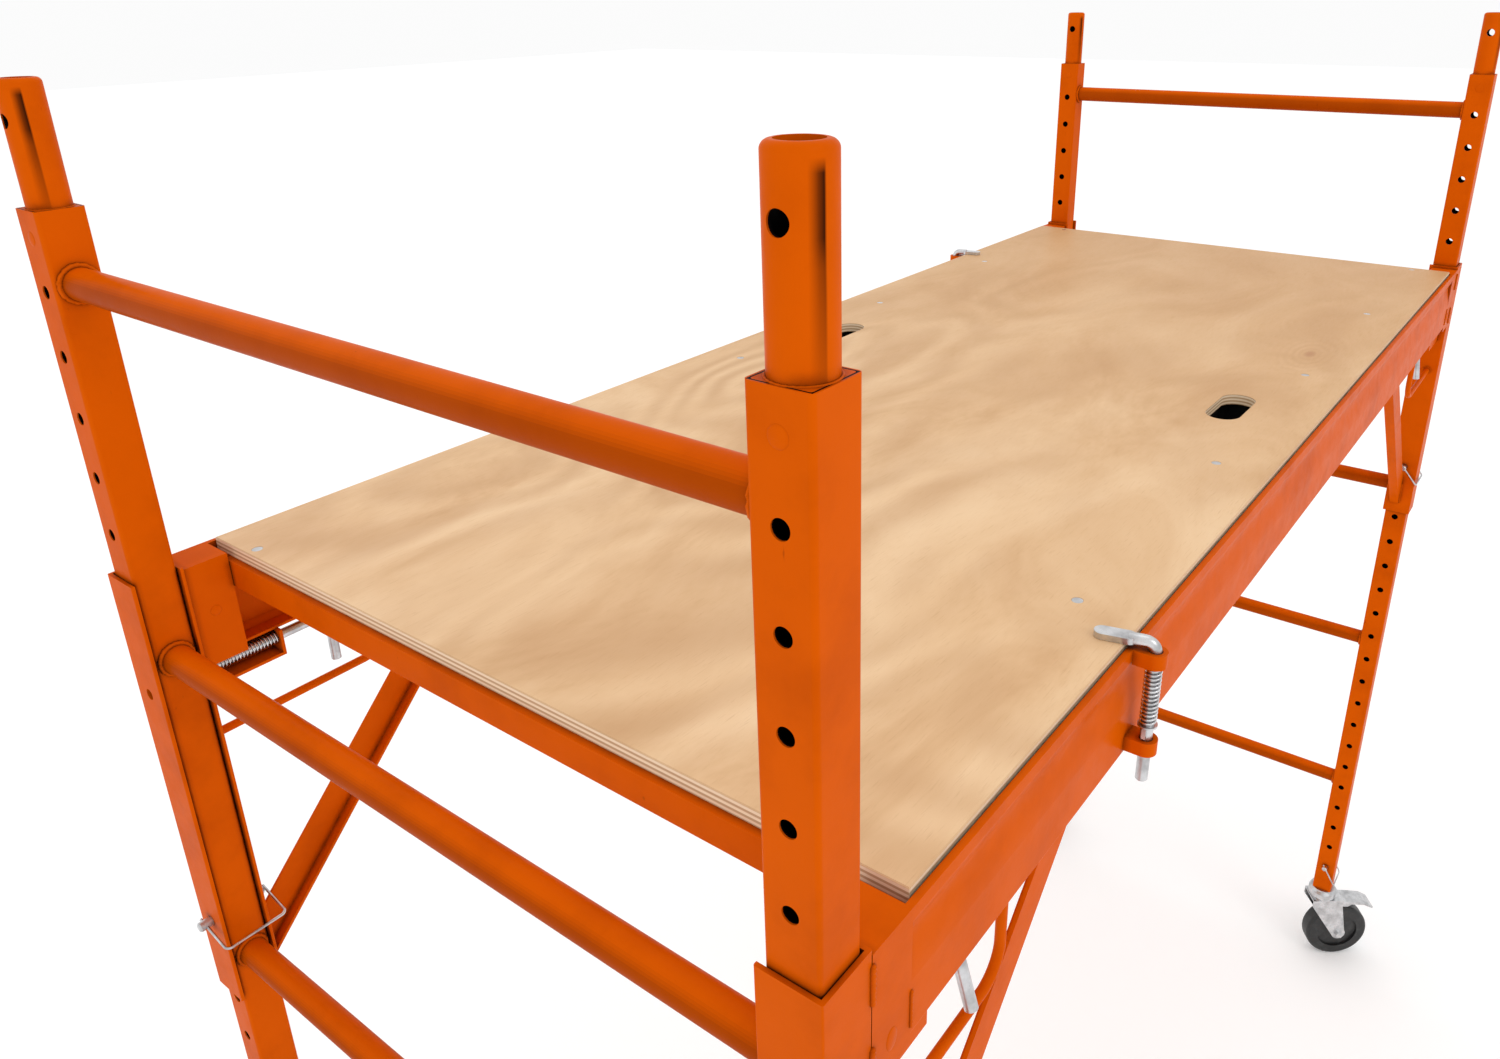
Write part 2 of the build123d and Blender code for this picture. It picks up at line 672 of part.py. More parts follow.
for corner, (end, side) in corners.items():
    x, y = end * post_x, side * post_y
    heading = radians(caster_heading if end > 0 else caster_heading + 180)
    wheel_plane = Plane(
        origin=(x, y, 0), x_dir=(cos(heading), sin(heading), 0), z_dir=(sin(heading), -cos(heading), 0),
    )
    axle = (caster_trail, wheel_radius)
    leg_out = fork_gap / 2 + fork_sheet

    with BuildPart() as caster_fork:
        with BuildSketch(wheel_plane.offset(-leg_out)):
            Polygon((-25, crown_top), (-25, crown_top - 16), (27, 58), (53, 64), (38, crown_top - 16),
                    (38, crown_top), align=None)
            with Locations(axle):
                Circle(14.0)
        extrude(amount=2 * leg_out)
        with BuildSketch(wheel_plane.offset(-fork_gap / 2)):
            with Locations((5, crown_top - fork_sheet - 75)):
                Rectangle(150, 150)
        extrude(amount=fork_gap, mode=Mode.SUBTRACT)
        with BuildSketch(Plane(origin=(x, y, crown_top), x_dir=(1, 0, 0), z_dir=(0, 0, 1))):
            Circle(cup_dia / 2 - 3.0)
            Circle(14.0, mode=Mode.SUBTRACT)
        extrude(amount=5.0)
        with BuildSketch(Plane(origin=(x, y, crown_top - 2 * fork_sheet), x_dir=(1, 0, 0), z_dir=(0, 0, 1))):
            Circle(kingpin_dia / 2 + 0.08)
        extrude(amount=3 * fork_sheet, mode=Mode.SUBTRACT)
        with BuildSketch(wheel_plane.offset(-leg_out)):
            with Locations(axle):
                Circle(axle_dia / 2)
            with Locations(pedal_pivot):
                Circle(pedal_pin_dia / 2 + 0.08)
        extrude(amount=2 * leg_out, mode=Mode.SUBTRACT)

    with BuildPart() as caster_axle:
        with BuildSketch(wheel_plane.offset(-leg_out)):
            with Locations(axle):
                Circle(axle_dia / 2)
        extrude(amount=2 * leg_out)
        for face, run in ((leg_out, 1), (-leg_out, -1)):
            with BuildSketch(wheel_plane.offset(face)):
                with Locations(axle):
                    RegularPolygon(8.0, 6)
            extrude(amount=run * 6.0)
    fork_and_axle = Compound(children=[caster_fork.part, caster_axle.part])
    save(fork_and_axle, f"caster_fork_{corner}")

    with BuildPart() as caster_wheel:
        half = wheel_width / 2
        hub_half = fork_gap / 2 - 0.4
        with BuildSketch(wheel_plane.offset(-half)):
            with Locations(axle):
                Circle(wheel_radius)
        extrude(amount=wheel_width)
        fillet(caster_wheel.edges().filter_by(GeomType.CIRCLE), 7.0)
        for face in (-half, half - 5.0):
            with BuildSketch(wheel_plane.offset(face)):
                with Locations(axle):
                    Circle(42.0)
            extrude(amount=5.0, mode=Mode.SUBTRACT)
        with BuildSketch(wheel_plane.offset(-hub_half)):
            with Locations(axle):
                Circle(15.0)
        extrude(amount=2 * hub_half)
        with BuildSketch(wheel_plane.offset(-fork_gap)):
            with Locations(axle):
                Circle(axle_dia / 2 + 0.08)
        extrude(amount=2 * fork_gap, mode=Mode.SUBTRACT)
    save(caster_wheel.part, f"caster_wheel_{corner}")

    with BuildPart() as brake_pedal:
        pivot_x, pivot_z = pedal_pivot
        with BuildSketch(wheel_plane.offset(-pedal_half)):
            Polygon((pivot_x - 5, pivot_z - 4), (pivot_x - 5, pivot_z + 4), (58, pivot_z + 2),
                    (88, pivot_z - 2), (106, pivot_z - 12), (104, pivot_z - 15), (86, pivot_z - 6),
                    (60, pivot_z - 4), (52, pivot_z - 9.5), (44, pivot_z - 9.5), align=None)
        extrude(amount=2 * pedal_half)
        with BuildSketch(wheel_plane.offset(-leg_out)):
            with Locations(pedal_pivot):
                Circle(pedal_pin_dia / 2)
        extrude(amount=2 * leg_out)
    save(brake_pedal.part, f"brake_pedal_{corner}")
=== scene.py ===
"""Looks of the baker scaffold: powder coat, plywood, zinc and rubber, with its welds, wear and hardware."""

import json
import math
import random

import bmesh
import bpy
from mathutils import Matrix, Vector


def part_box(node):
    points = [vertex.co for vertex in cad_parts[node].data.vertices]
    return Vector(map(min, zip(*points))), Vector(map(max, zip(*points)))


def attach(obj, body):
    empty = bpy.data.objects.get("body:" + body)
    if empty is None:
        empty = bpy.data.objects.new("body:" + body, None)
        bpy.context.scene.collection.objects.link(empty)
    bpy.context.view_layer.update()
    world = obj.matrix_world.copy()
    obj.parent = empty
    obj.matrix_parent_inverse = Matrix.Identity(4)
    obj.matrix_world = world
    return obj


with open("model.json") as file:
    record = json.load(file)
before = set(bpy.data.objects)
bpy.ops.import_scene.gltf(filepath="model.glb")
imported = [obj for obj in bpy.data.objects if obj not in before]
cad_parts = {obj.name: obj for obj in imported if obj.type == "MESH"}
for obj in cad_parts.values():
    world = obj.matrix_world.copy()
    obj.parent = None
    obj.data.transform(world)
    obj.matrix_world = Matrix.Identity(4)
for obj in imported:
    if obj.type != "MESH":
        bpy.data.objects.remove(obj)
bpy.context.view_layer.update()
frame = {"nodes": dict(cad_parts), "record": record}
nodes = frame["nodes"]
BODY = "scaffold_frame"

# ------------------------------------------------------------------ sizes, in metres
POST_X, POST_Y = 0.9047, 0.3492
HALF = 0.0175
STUB_RADIUS, STUB_STANDS = 0.0153, 0.092
HOLE_RIM = 0.0010  # how deep the paint reaches into a hole
RUNG_FIRST, RUNG_PITCH = 0.056, 0.329
BRACE_REACH, GUARD_REACH, GUARD_DROP = 0.334, 0.700, 0.080
BEAD_RIPPLE, BEAD_PITCH = 0.14, 0.0032
KNOT = (0.259, -0.293)
PLY_LAYER = 0.0040
# directions of the painted dark reflection on the stubs
REFLECTION_SIDE, REFLECTION_ACROSS = (-0.373, -0.928), (0.928, -0.373)
POST_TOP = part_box("post_near_right")[1][2]
DECK_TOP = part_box("plywood_deck")[1][2]
RAIL_FOOT, RAIL_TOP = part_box("right_rail")[0][2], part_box("right_rail")[1][2]
SIDE_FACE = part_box("right_rail")[0][1] * -1
BOX_OUTER = POST_X - (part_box("bracket_sleeves")[1][0] - POST_X)
BOX_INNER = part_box("right_rail")[1][0]
RUNGS = [POST_TOP - RUNG_FIRST - index * RUNG_PITCH for index in range(5)]
CORNERS = {"near_right": (-1, -1), "near_left": (-1, 1), "far_right": (1, -1), "far_left": (1, 1)}


# ------------------------------------------------------------------ node helpers
class Tree:
    """A material's node tree with short ways to add nodes."""

    def __init__(self, name):
        self.mat = bpy.data.materials.new(name)
        self.mat.use_nodes = True
        self.tree = self.mat.node_tree
        self.shader = self.tree.nodes["Principled BSDF"]

    def add(self, kind, **values):
        node = self.tree.nodes.new(kind)
        for key, value in values.items():
            if hasattr(node, key):
                setattr(node, key, value)
            else:
                node.inputs[key.replace("_", " ")].default_value = value
        return node

    def link(self, a, b):
        self.tree.links.new(a, b)

    def coords(self, scale=(1, 1, 1), turn=(0, 0, 0)):
        place = self.add("ShaderNodeTexCoord")
        mapping = self.add("ShaderNodeMapping")
        mapping.inputs["Scale"].default_value = scale
        mapping.inputs["Rotation"].default_value = turn
        self.link(place.outputs["Object"], mapping.inputs["Vector"])
        return mapping.outputs["Vector"]

    def noise(self, vector, scale, detail=4.0, rough=0.55, distortion=0.0):
        node = self.add("ShaderNodeTexNoise")
        node.inputs["Scale"].default_value = scale
        node.inputs["Detail"].default_value = detail
        node.inputs["Roughness"].default_value = rough
        node.inputs["Distortion"].default_value = distortion
        self.link(vector, node.inputs["Vector"])
        return node.outputs["Fac"]

    def ramp(self, fac, stops):
        node = self.add("ShaderNodeValToRGB")
        while len(node.color_ramp.elements) < len(stops):
            node.color_ramp.elements.new(0.5)
        for element, (place, colour) in zip(node.color_ramp.elements, stops):
            element.position = place
            element.color = (*colour, 1.0)
        self.link(fac, node.inputs["Fac"])
        return node.outputs["Color"]

    def mix(self, fac, a, b):
        node = self.add("ShaderNodeMix", data_type="RGBA", blend_type="MIX")
        for socket, value in ((node.inputs[0], fac), (node.inputs[6], a), (node.inputs[7], b)):
            if isinstance(value, (int, float)):
                socket.default_value = value
            elif isinstance(value, tuple):
                socket.default_value = (*value, 1.0)
            else:
                self.link(value, socket)
        return node.outputs[2]

    def math(self, kind, a, b=0.0, clamp=False):
        node = self.add("ShaderNodeMath", operation=kind, use_clamp=clamp)
        for socket, value in ((node.inputs[0], a), (node.inputs[1], b)):
            if isinstance(value, (int, float)):
                socket.default_value = value
            else:
                self.link(value, socket)
        return node.outputs[0]

    def bump(self, height, strength, distance):
        node = self.add("ShaderNodeBump")
        node.inputs["Strength"].default_value = strength
        node.inputs["Distance"].default_value = distance
        self.link(height, node.inputs["Height"])
        return node.outputs["Normal"]


def grey(value):
    return (value, value, value)


# ------------------------------------------------------------------ materials
ORANGE = (0.660, 0.096, 0.0)
ORANGE_DEEP = (0.575, 0.080, 0.0)
# colour of the painted shade in creases and joints
CREASE_SHADE = (0.055, 0.010, 0.002)


def paint(name, reflection_and_bore_shade=False, tube=False, underside_shade=False):
    """Glossy powder coat with orange peel, mottling, and painted shade drawn dark along edges and joints."""
    t = Tree(name)
    place = t.coords()
    mottle = t.noise(place, 14.0, 5.0, 0.6)
    base = t.ramp(mottle, [(0.30, ORANGE_DEEP), (0.52, ORANGE), (1.0, (0.725, 0.108, 0.0))])
    # painted shade: ambient occlusion darkens the paint in creases and at joints, broken up by noise
    edge = t.add("ShaderNodeAmbientOcclusion", samples=8, inside=False)
    edge.inputs["Distance"].default_value = 0.007
    crease = t.math("SUBTRACT", 1.0, edge.outputs["AO"], clamp=True)
    scuff = t.noise(place, 60.0, 6.0, 0.7)
    crease_shade_mask = t.math("MULTIPLY", t.math("MULTIPLY", crease, 1.5), t.math("ADD", scuff, 0.25), clamp=True)
    base = t.mix(crease_shade_mask, base, CREASE_SHADE)
    fleck = t.noise(t.coords((1.0, 1.0, 0.35)), 95.0, 3.0, 0.75)
    fleck_mask = t.ramp(fleck, [(0.70, grey(0.0)), (0.76, grey(0.55))])
    base = t.mix(fleck_mask, base, (0.30, 0.040, 0.001))
    split = t.add("ShaderNodeSeparateXYZ")
    t.link(place, split.inputs[0])
    if reflection_and_bore_shade:
        # painted reflection: a soft dark run down one flank of each stub; painted shade: near-black inside
        # its bore
        off = []
        for axis, centre in (("X", POST_X), ("Y", POST_Y)):
            shift = t.math("MULTIPLY", t.math("SIGN", split.outputs[axis]), centre)
            off.append(t.math("SUBTRACT", split.outputs[axis], shift))

        def along(direction):
            parts = [t.math("MULTIPLY", value, part / STUB_RADIUS) for value, part in zip(off, direction)]
            return t.math("ADD", *parts)

        waver = t.math("MULTIPLY", t.math("SUBTRACT", t.noise(t.coords((40.0, 40.0, 9.0)), 1.0), 0.5), 0.12)
        across = t.math("ADD", t.math("ADD", along(REFLECTION_ACROSS), waver), 0.5)
        dark_reflection_band = t.ramp(across, [(0.12, grey(0.0)), (0.40, grey(0.75)), (0.57, grey(0.96)), (0.64, grey(0.0))])
        front = t.math("GREATER_THAN", along(REFLECTION_SIDE), 0.5)
        height = t.math("DIVIDE", t.math("SUBTRACT", split.outputs["Z"], POST_TOP), STUB_STANDS)
        fade = t.ramp(height, [
            (0.0, grey(0.3)), (0.5, grey(0.7)), (0.62, grey(1.0)), (0.88, grey(1.0)), (0.94, grey(0.0)),
        ])
        # painted reflection: the dark run is kept to the front flank and faded by height
        run = t.math("MULTIPLY", t.math("MULTIPLY", dark_reflection_band, front), fade)
        base = t.mix(run, base, (0.010, 0.003, 0.001))
        # painted shade: the bore of each stub, from 22 mm below its top downward, is coloured near-black
        radius = t.math("SQRT", t.math("ADD", *[t.math("MULTIPLY", value, value) for value in off]))
        bore_shade_mask = t.math("LESS_THAN", radius, STUB_RADIUS - HOLE_RIM)
        low = t.math("LESS_THAN", split.outputs["Z"], POST_TOP + 0.070)
        base = t.mix(t.math("MULTIPLY", bore_shade_mask, low), base, (0.004, 0.003, 0.003))
    if tube:
        # painted shade: the inside of the posts, seen through their holes, is coloured near-black
        across = t.math("ABSOLUTE", t.math("SUBTRACT", t.math("ABSOLUTE", split.outputs["X"]), POST_X))
        deep = t.math("ABSOLUTE", t.math("SUBTRACT", t.math("ABSOLUTE", split.outputs["Y"]), POST_Y))
        inside = t.math("LESS_THAN", t.math("MAXIMUM", across, deep), HALF - HOLE_RIM)
        base = t.mix(inside, base, (0.004, 0.003, 0.003))
    if underside_shade:
        # painted shade: a bar is coloured darker on its flanks and underside, the more its surface leans
        # away from facing up
        leaning = t.add("ShaderNodeNewGeometry")
        aspect = t.add("ShaderNodeSeparateXYZ")
        t.link(leaning.outputs["True Normal"], aspect.inputs[0])
        painted_flank_shade = t.ramp(aspect.outputs["Z"], [(0.35, grey(0.55)), (0.85, grey(0.0))])
        base = t.mix(painted_flank_shade, base, (0.200, 0.026, 0.0))
    t.link(base, t.shader.inputs["Base Color"])
    rough = t.ramp(scuff, [(0.3, grey(0.28)), (0.8, grey(0.44))])
    t.link(rough, t.shader.inputs["Roughness"])
    t.shader.inputs["Specular IOR Level"].default_value = 0.015
    t.shader.inputs["Coat Weight"].default_value = 0.0
    t.shader.inputs["Coat Roughness"].default_value = 0.22
    peel = t.noise(place, 420.0, 2.0, 0.5)
    t.link(t.bump(peel, 0.10, 0.0006), t.shader.inputs["Normal"])
    return t.mat


def plywood():
    """Sanded rotary-cut veneer: broad wandering figure, fine pores, a knot, and ply lines on the edges."""
    t = Tree("plywood_veneer")
    place = t.coords()
    # contour lines of a slow height field, as a rotary cut shows them
    field = t.noise(t.coords((0.85, 1.9, 1.0), (0, 0, math.radians(-14))), 1.35, 2.5, 0.45, 0.35)
    contour = t.math("SINE", t.math("MULTIPLY", field, 96.0))
    contour = t.math("ADD", t.math("MULTIPLY", contour, 0.5), 0.5)
    veil = t.noise(t.coords((1.0, 2.0, 1.0)), 2.2, 3.0, 0.6)
    strength = t.ramp(veil, [(0.42, grey(0.08)), (0.62, grey(0.62))])
    cloud = t.noise(t.coords((1.6, 3.4, 1.0), (0, 0, math.radians(-10))), 1.9, 5.0, 0.62, 0.9)
    base = t.ramp(cloud, [
        (0.26, (0.600, 0.335, 0.150)), (0.44, (0.745, 0.475, 0.250)),
        (0.60, (0.830, 0.565, 0.325)), (0.84, (0.885, 0.640, 0.395)),
    ])
    base = t.mix(t.math("MULTIPLY", contour, strength), base, (0.560, 0.310, 0.140))
    blotch = t.noise(t.coords((0.9, 1.4, 1.0), (0, 0, math.radians(24))), 3.1, 4.0, 0.6, 0.8)
    blotch_mask = t.ramp(blotch, [(0.54, grey(0.0)), (0.76, grey(0.40))])
    base = t.mix(blotch_mask, base, (0.570, 0.310, 0.140))
    run = t.add("ShaderNodeSeparateXYZ")
    t.link(place, run.inputs[0])
    length = t.math("MULTIPLY", t.math("ADD", run.outputs["X"], 0.84), 0.6)
    base = t.mix(t.ramp(length, [(0.2, grey(0.0)), (0.95, grey(0.66))]), base, (0.560, 0.300, 0.115))
    pore = t.noise(t.coords((14.0, 210.0, 50.0)), 4.0, 3.0, 0.6)
    pore_mask = t.ramp(pore, [(0.58, grey(0.0)), (0.74, grey(0.26))])
    base = t.mix(pore_mask, base, (0.470, 0.240, 0.110))

    # the knot, with rings that fade out around it
    spot = t.add("ShaderNodeVectorMath", operation="SUBTRACT")
    t.link(place, spot.inputs[0])
    spot.inputs[1].default_value = (*KNOT, DECK_TOP)
    squash = t.add("ShaderNodeVectorMath", operation="MULTIPLY")
    t.link(spot.outputs[0], squash.inputs[0])
    squash.inputs[1].default_value = (1.0, 2.3, 0.0)
    wander = t.add("ShaderNodeVectorMath", operation="LENGTH")
    t.link(squash.outputs[0], wander.inputs[0])
    radius = t.math("ADD", wander.outputs["Value"], t.math("MULTIPLY", t.noise(place, 16.0, 2.0), 0.03))
    ring = t.math("SINE", t.math("MULTIPLY", radius, 330.0))
    ring = t.math("MULTIPLY", t.math("ADD", ring, 1.0), 0.30)
    near = t.ramp(radius, [(0.02, grey(1.0)), (0.13, grey(0.0))])
    ring_mask = t.math("MULTIPLY", ring, near, clamp=True)
    base = t.mix(ring_mask, base, (0.560, 0.300, 0.130))
    core = t.ramp(radius, [(0.020, grey(0.75)), (0.038, grey(0.0))])
    base = t.mix(core, base, (0.460, 0.210, 0.080))

    # ply lines on the panel's edges
    split = t.add("ShaderNodeSeparateXYZ")
    t.link(place, split.inputs[0])
    layer = t.math("SINE", t.math("MULTIPLY", split.outputs["Z"], 2 * math.pi / PLY_LAYER))
    layer_colour = t.ramp(t.math("ADD", t.math("MULTIPLY", layer, 0.5), 0.5), [
        (0.30, (0.560, 0.350, 0.190)), (0.62, (0.900, 0.720, 0.510)),
    ])
    facing = t.add("ShaderNodeNewGeometry")
    turned = t.add("ShaderNodeSeparateXYZ")
    t.link(facing.outputs["True Normal"], turned.inputs[0])
    flat = t.math("ABSOLUTE", turned.outputs["Z"])
    side_mask = t.ramp(flat, [(0.60, grey(1.0)), (0.80, grey(0.0))])
    base = t.mix(side_mask, base, layer_colour)
    t.link(base, t.shader.inputs["Base Color"])
    t.link(t.ramp(pore, [(0.4, grey(0.48)), (0.8, grey(0.62))]), t.shader.inputs["Roughness"])
    t.shader.inputs["Specular IOR Level"].default_value = 0.35
    t.link(t.bump(pore, 0.12, 0.0004), t.shader.inputs["Normal"])
    return t.mat


def metal(name, colour, rough_low, rough_high, patch_scale):
    """Plated steel: a crystalline patchiness, fine drawing lines and small dull spots."""
    t = Tree(name)
    place = t.coords()
    patch = t.noise(place, patch_scale, 4.0, 0.6)
    dim = tuple(0.62 * part for part in colour)
    base = t.ramp(patch, [(0.32, dim), (0.62, colour)])
    spots = t.ramp(t.noise(place, patch_scale * 4.5, 3.0, 0.7), [(0.70, grey(0.0)), (0.80, grey(0.5))])
    base = t.mix(spots, base, (0.16, 0.14, 0.11))
    t.link(base, t.shader.inputs["Base Color"])
    t.link(t.ramp(patch, [(0.3, grey(rough_high)), (0.7, grey(rough_low))]), t.shader.inputs["Roughness"])
    t.shader.inputs["Metallic"].default_value = 1.0
    fine = t.noise(place, 700.0, 2.0, 0.5)
    t.link(t.bump(fine, 0.08, 0.0003), t.shader.inputs["Normal"])
    return t.mat


def rubber():
    """Hard black tread with moulding grain and a dusting of grey scuffs."""
    t = Tree("wheel_rubber_black")
    place = t.coords()
    scuff = t.noise(place, 38.0, 5.0, 0.7)
    t.link(t.ramp(scuff, [(0.50, grey(0.010)), (0.80, grey(0.055))]), t.shader.inputs["Base Color"])
    t.link(t.ramp(scuff, [(0.4, grey(0.42)), (0.8, grey(0.66))]), t.shader.inputs["Roughness"])
    t.link(t.bump(t.noise(place, 900.0, 2.0), 0.15, 0.0003), t.shader.inputs["Normal"])
    return t.mat


def plastic():
    """Matte black moulding with a fine grain."""
    t = Tree("moulded_black")
    place = t.coords()
    tone = t.ramp(t.noise(place, 30.0, 4.0), [(0.3, grey(0.004)), (0.8, grey(0.010))])
    t.link(tone, t.shader.inputs["Base Color"])
    t.shader.inputs["Roughness"].default_value = 0.7
    t.shader.inputs["Specular IOR Level"].default_value = 0.15
    t.link(t.bump(t.noise(place, 800.0, 2.0), 0.2, 0.0003), t.shader.inputs["Normal"])
    return t.mat


MATERIALS = {
    "black_plastic": plastic(),
    "orange_paint": paint("powder_coat_orange"),
    "stub": paint("powder_coat_reflection_and_shade", reflection_and_bore_shade=True),
    "post": paint("powder_coat_tube", tube=True),
    "rung": paint("powder_coat_bar", underside_shade=True),
    "plywood": plywood(),
    "zinc": metal("zinc_plate", (0.66, 0.66, 0.67), 0.24, 0.42, 55.0),
    "spring_steel": metal("spring_plate", (0.72, 0.72, 0.73), 0.18, 0.30, 90.0),
    "wheel_rubber": rubber(),
}

for part in frame["record"]["subparts"]:
    chosen = part["material_slot"]
    if part["node"] == "stacking_stubs":
        chosen = "stub"
    elif part["node"].startswith("post_"):
        chosen = "post"
    elif part["node"].endswith("_rungs"):
        chosen = "rung"
    mesh = nodes[part["node"]].data
    if not mesh.materials:
        mesh.materials.append(MATERIALS[chosen])
    for index in range(len(mesh.materials)):
        mesh.materials[index] = MATERIALS[chosen]


# ------------------------------------------------------------------ piece helpers
def piece(name, verts, faces, body, slot):
    """One mesh piece that rides on a body and takes the named finish."""
    mesh = bpy.data.meshes.new(name)
    mesh.from_pydata([tuple(v) for v in verts], [], faces)
    mesh.validate()
    work = bmesh.new()
    work.from_mesh(mesh)
    bmesh.ops.recalc_face_normals(work, faces=work.faces)
    work.to_mesh(mesh)
    work.free()
    for polygon in mesh.polygons:
        polygon.use_smooth = True
    mesh.materials.append(MATERIALS[slot])
    obj = bpy.data.objects.new(name, mesh)
    bpy.context.scene.collection.objects.link(obj)
    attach(obj, body)
    return obj


class Soup:
    """Gathers vertices and faces of many beads into one piece."""

    def __init__(self, seed):
        self.verts, self.faces = [], []
        self.chance = random.Random(seed)

    def tube(self, path, radius, closed, across=8):
        """A weld bead along a path, with the ripple of its puddles."""
        rings = []
        count = len(path)
        travelled = 0.0
        for index, point in enumerate(path):
            before = path[index - 1] if closed or index else point
            after = path[(index + 1) % count] if closed or index < count - 1 else point
            run = (after - before).normalized()
            travelled += (point - before).length if index else 0.0
            swell = 1 + BEAD_RIPPLE * math.sin(2 * math.pi * travelled / BEAD_PITCH)
            swell += self.chance.uniform(-0.06, 0.06)
            if not closed and index in (0, count - 1):
                swell *= 0.30
            side = run.cross(Vector((0.31, 0.52, 0.79))).normalized()
            up = run.cross(side).normalized()
            start = len(self.verts)
            for step in range(across):
                angle = 2 * math.pi * step / across
                offset = (side * math.cos(angle) + up * math.sin(angle)) * radius * swell
                self.verts.append(point + offset)
            rings.append(start)
        spans = count if closed else count - 1
        for index in range(spans):
            a, b = rings[index], rings[(index + 1) % count]
            for step in range(across):
                after = (step + 1) % across
                self.faces.append((a + step, a + after, b + after, b + step))
        if not closed:
            self.faces.append(tuple(rings[0] + step for step in range(across)))
            self.faces.append(tuple(rings[-1] + step for step in reversed(range(across))))

    def ring(self, centre, axis, ring_radius, radius, steps=44):
        """A fillet weld round a tube."""
        axis = Vector(axis).normalized()
        side = axis.orthogonal().normalized()
        up = axis.cross(side)
        path = []
        for step in range(steps):
            angle = 2 * math.pi * step / steps
            path.append(Vector(centre) + (side * math.cos(angle) + up * math.sin(angle)) * ring_radius)
        self.tube(path, radius, True, across=7)

    def line(self, start, end, radius):
        """A straight stitch weld."""
        start, end = Vector(start), Vector(end)
        steps = max(8, int((end - start).length / 0.0012))
        self.tube([start.lerp(end, step / steps) for step in range(steps + 1)], radius, False)

    def button(self, centre, normal, radius, height, stretch=1.0):
        """A low round or oval swelling, as a plug weld or a pressed dimple."""
        normal = Vector(normal).normalized()
        up = (Vector((0, 0, 1)) - normal * normal.z).normalized()
        side = up.cross(normal)
        start = len(self.verts)
        levels, around = 5, 22
        for level in range(levels):
            angle = math.pi / 2 * level / levels
            reach, rise = math.cos(angle) * radius, math.sin(angle) * height
            for step in range(around):
                turn = 2 * math.pi * step / around
                self.verts.append(
                    Vector(centre) + side * math.cos(turn) * reach + up * math.sin(turn) * reach * stretch
                    + normal * (rise - 0.0002))
        self.verts.append(Vector(centre) + normal * height)
        top = len(self.verts) - 1
        for level in range(levels - 1):
            for step in range(around):
                a = start + level * around + step
                b = start + level * around + (step + 1) % around
                self.faces.append((a, b, b + around, a + around))
        for step in range(around):
            a = start + (levels - 1) * around + step
            b = start + (levels - 1) * around + (step + 1) % around
            self.faces.append((a, b, top))
        self.faces.append(tuple(start + step for step in reversed(range(around))))

    def done(self, name, body, slot):
        return piece(name, self.verts, self.faces, body, slot)


# ------------------------------------------------------------------ welds and pressed details
for label, end in (("near", -1), ("far", 1)):
    welds = Soup(11 + end)
    for height in RUNGS:
        for side in (-1, 1):
            welds.ring((end * POST_X, side * (POST_Y - HALF - 0.0008), height), (0, 1, 0), 0.0134, 0.0026)
    welds.done(f"rung_welds_{label}", BODY, "orange_paint")

stub_welds = Soup(21)
for end, side in CORNERS.values():
    stub_welds.ring((end * POST_X, side * POST_Y, POST_TOP - 0.0002), (0, 0, 1), 0.0157, 0.0009, steps=60)
    stub_welds.button((end * POST_X - HALF, side * POST_Y, POST_TOP - 0.021), (-1, 0, 0), 0.0058, 0.0009)
    stub_welds.button((end * POST_X + HALF, side * POST_Y, POST_TOP - 0.021), (1, 0, 0), 0.0058, 0.0009)
stub_welds.done("stub_welds", BODY, "orange_paint")

seam_welds = Soup(31)
dimples = Soup(41)
for end, side in CORNERS.values():
    seam_x, face_y = end * BOX_OUTER, side * SIDE_FACE
    for top in (0.006, 0.064):
        high = RAIL_TOP - top
        seam_welds.line((seam_x, face_y, high), (seam_x, face_y, high - 0.028), 0.0022)
    rail_x = end * BOX_INNER
    seam_welds.line((rail_x, face_y, RAIL_TOP - 0.058), (rail_x, face_y, RAIL_FOOT + 0.012), 0.0014)
    middle = end * (BOX_OUTER + BOX_INNER) / 2
    dimples.button((middle, face_y, RAIL_FOOT + 0.022), (0, side, 0), 0.0055, 0.0010, 1.5)
    dimples.button((middle, side * (SIDE_FACE - 0.038), RAIL_FOOT + 0.050), (0, -side, 0), 0.0050, 0.0010)
    # sleeve to brace, and brace to rail
    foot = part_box("bracket_diagonals")[0][2]
    brace_y = side * (POST_Y + 0.0015)
    seam_welds.line((seam_x, brace_y, foot + 0.003), (seam_x, brace_y, foot + 0.040), 0.0022)
    head_x = end * (BOX_OUTER - BRACE_REACH)
    seam_welds.line((head_x, brace_y, RAIL_FOOT), (head_x + end * 0.047, brace_y, RAIL_FOOT), 0.0022)
    # guard rod ends
    guard_y = side * (POST_Y + 0.0055)
    seam_welds.ring((seam_x, guard_y, RAIL_FOOT - GUARD_DROP), (1, 0, 0), 0.0044, 0.0015, steps=24)
    seam_welds.ring((end * GUARD_REACH, guard_y, RAIL_FOOT), (0, 0, 1), 0.0044, 0.0015, steps=24)
seam_welds.done("bracket_welds", BODY, "orange_paint")
dimples.done("bracket_dimples", BODY, "orange_paint")

# ------------------------------------------------------------------ floor, light and camera
bpy.ops.mesh.primitive_plane_add(size=60.0, location=(0, 0, 0))
floor = bpy.context.object
floor.name = "floor"
floor_look = Tree("floor_white")
floor_look.shader.inputs["Base Color"].default_value = (0.97, 0.97, 0.97, 1)
floor_look.shader.inputs["Roughness"].default_value = 0.9
floor_look.shader.inputs["Specular IOR Level"].default_value = 0.1
floor_look.shader.inputs["Emission Color"].default_value = (1.0, 1.0, 1.0, 1)
floor_look.shader.inputs["Emission Strength"].default_value = 0.10
floor.data.materials.append(floor_look.mat)

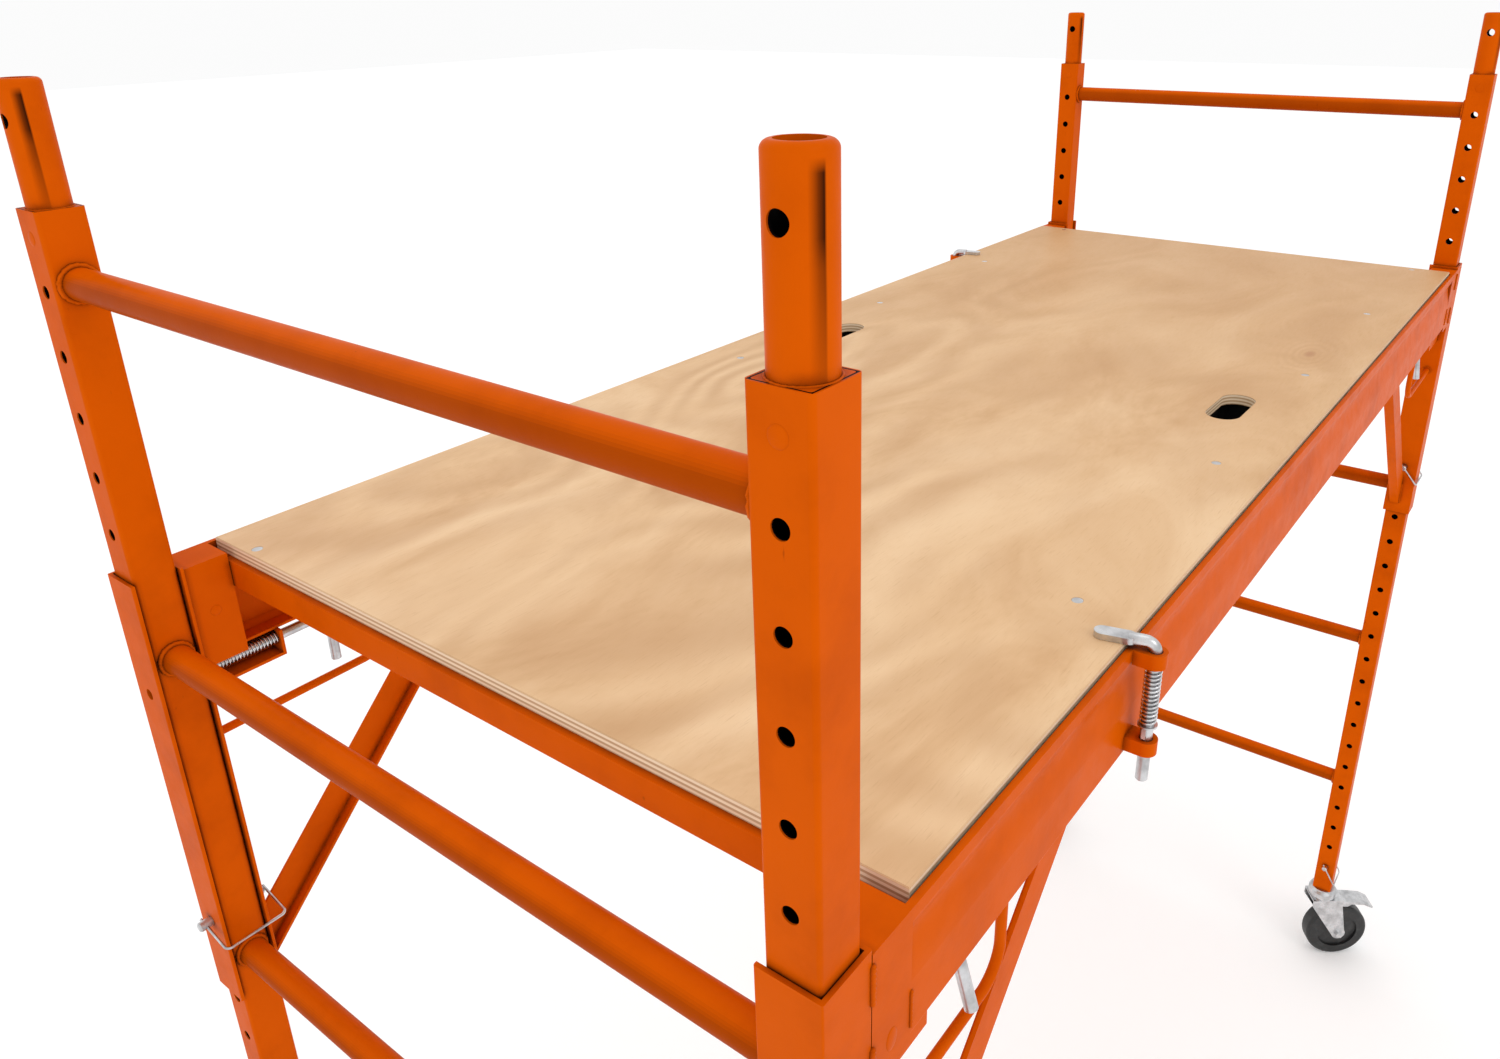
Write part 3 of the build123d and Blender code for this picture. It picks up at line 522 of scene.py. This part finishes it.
world = bpy.data.worlds.new("studio")
world.use_nodes = True
world.node_tree.nodes["Background"].inputs["Color"].default_value = (1.0, 1.0, 1.0, 1)
world.node_tree.nodes["Background"].inputs["Strength"].default_value = 0.97
bpy.context.scene.world = world
bpy.context.scene.view_settings.view_transform = "Standard"


def lamp(name, place, target, size, power):
    data = bpy.data.lights.new(name, "AREA")
    data.shape, data.size, data.energy = "SQUARE", size, power
    obj = bpy.data.objects.new(name, data)
    obj.location = place
    obj.rotation_euler = (Vector(target) - Vector(place)).to_track_quat("-Z", "Y").to_euler()
    bpy.context.scene.collection.objects.link(obj)


lamp("key", (-1.2, -4.2, 4.6), (0, 0, 1.2), 2.0, 26)
lamp("fill", (-5.0, 2.2, 3.2), (0, 0, 1.2), 3.0, 2)
lamp("top", (0.4, 0.6, 6.0), (0, 0, 1.2), 3.0, 12)

FOCAL, WIDTH, HEIGHT = 1127.9, 1500, 1059
CENTRE = (807.5, 438.0)
YAW, PITCH, ROLL = 0.64328, -0.37969, -0.01549
SPOT = Vector((-1.24501, -0.60580, 0.14293 + POST_TOP))

ahead = Vector((math.cos(YAW) * math.cos(PITCH), math.sin(YAW) * math.cos(PITCH), math.sin(PITCH)))
level = Vector((math.sin(YAW), -math.cos(YAW), 0.0))
upright = level.cross(ahead)
right = level * math.cos(ROLL) + upright * math.sin(ROLL)
above = upright * math.cos(ROLL) - level * math.sin(ROLL)

camera = bpy.data.objects.new("camera", bpy.data.cameras.new("camera"))
camera.data.sensor_fit = "HORIZONTAL"
camera.data.sensor_width = 36.0
camera.data.lens = FOCAL * 36.0 / WIDTH
camera.data.shift_x = -(CENTRE[0] - WIDTH / 2) / WIDTH
camera.data.shift_y = (CENTRE[1] - HEIGHT / 2) / WIDTH
camera.data.clip_start, camera.data.clip_end = 0.01, 200.0
turn = Matrix((right, above, -ahead)).transposed().to_4x4()
camera.matrix_world = Matrix.Translation(SPOT) @ turn
bpy.context.scene.collection.objects.link(camera)
bpy.context.scene.camera = camera

bpy.context.view_layer.update()
